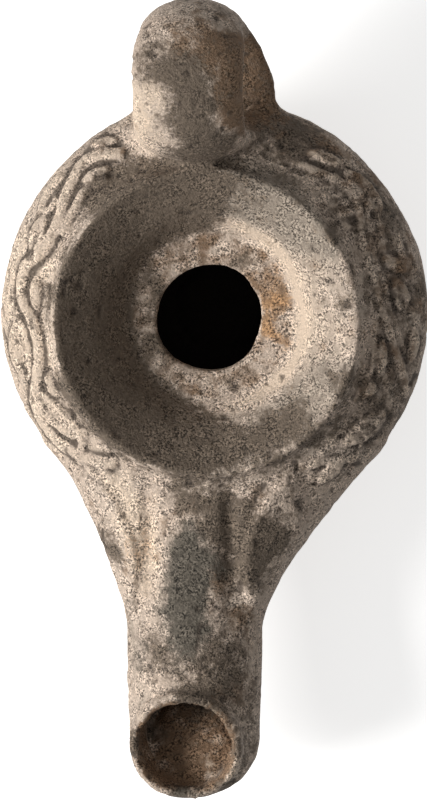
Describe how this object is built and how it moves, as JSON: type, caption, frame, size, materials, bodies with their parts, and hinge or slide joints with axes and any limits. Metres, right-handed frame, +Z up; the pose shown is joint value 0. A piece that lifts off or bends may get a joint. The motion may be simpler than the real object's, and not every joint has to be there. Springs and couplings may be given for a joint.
{
  "type": "roman oil lamp",
  "caption": "Mould-made clay oil lamp: round hollow body, open dish with a filling hole, long round nozzle with a wick hole, and a strap ring handle.",
  "frame": {"origin": "middle of the flat underside of the base", "axes": "+Z up, +Y from the base's middle towards the handle, so the nozzle points along -Y"},
  "size_m": [0.0568, 0.1078, 0.036],
  "materials": {
    "fired_clay": "matte"
  },
  "bodies": {
    "root": {"lamp": "fired_clay"}
  },
  "joints": []
}
